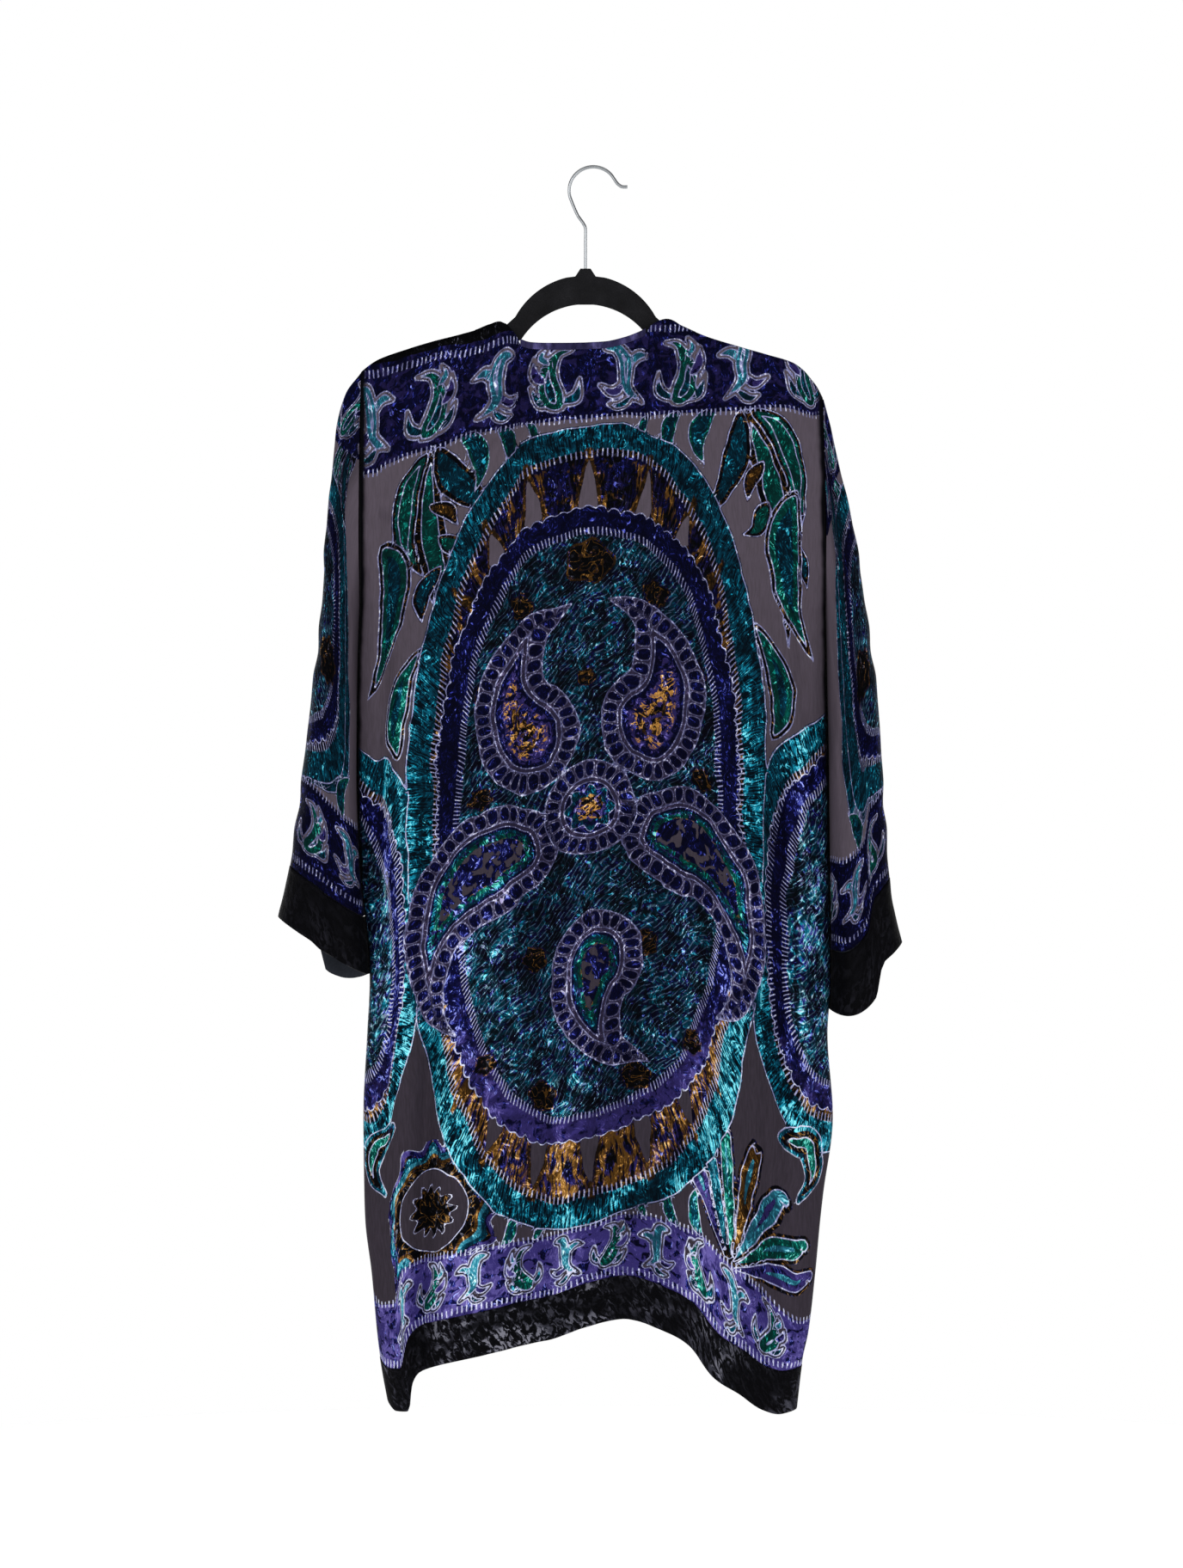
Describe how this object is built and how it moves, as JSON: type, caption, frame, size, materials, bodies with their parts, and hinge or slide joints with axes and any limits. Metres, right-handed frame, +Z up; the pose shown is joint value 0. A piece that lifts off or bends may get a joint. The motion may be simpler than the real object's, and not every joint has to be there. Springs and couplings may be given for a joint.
{
  "type": "velvet duster jacket on a hanger",
  "caption": "Knee-length open-front kimono jacket of paisley burnout velvet, with wide three-quarter sleeves, plain cuffs and hem, hanging on a slim flocked hanger.",
  "frame": {"origin": "the underside of the hook's wire at the top of its loop, where it rests on a rod", "axes": "+Z up; X across the shoulders with the wearer's left at -X; the garment's back faces -Y and its open front +Y"},
  "size_m": [0.6384, 0.1174, 1.2734],
  "materials": {
    "burnout_velvet": "burnout velvet in navy, teal, green and violet paisley on a sheer mauve-grey ground",
    "plain_velvet": "plain black crushed velvet",
    "binding": "narrow violet binding",
    "flock": "black flock",
    "wire": "bright plated wire"
  },
  "bodies": {
    "root": {"back": "burnout_velvet", "front_left": "burnout_velvet", "front_right": "burnout_velvet", "sleeve_left": "burnout_velvet", "sleeve_right": "burnout_velvet", "cuff_left": "plain_velvet", "cuff_right": "plain_velvet", "hem_border": "plain_velvet", "front_band_left": "plain_velvet", "front_band_right": "plain_velvet", "neck_binding": "binding", "hanger_body": "flock", "hanger_hook": "wire"}
  },
  "joints": []
}
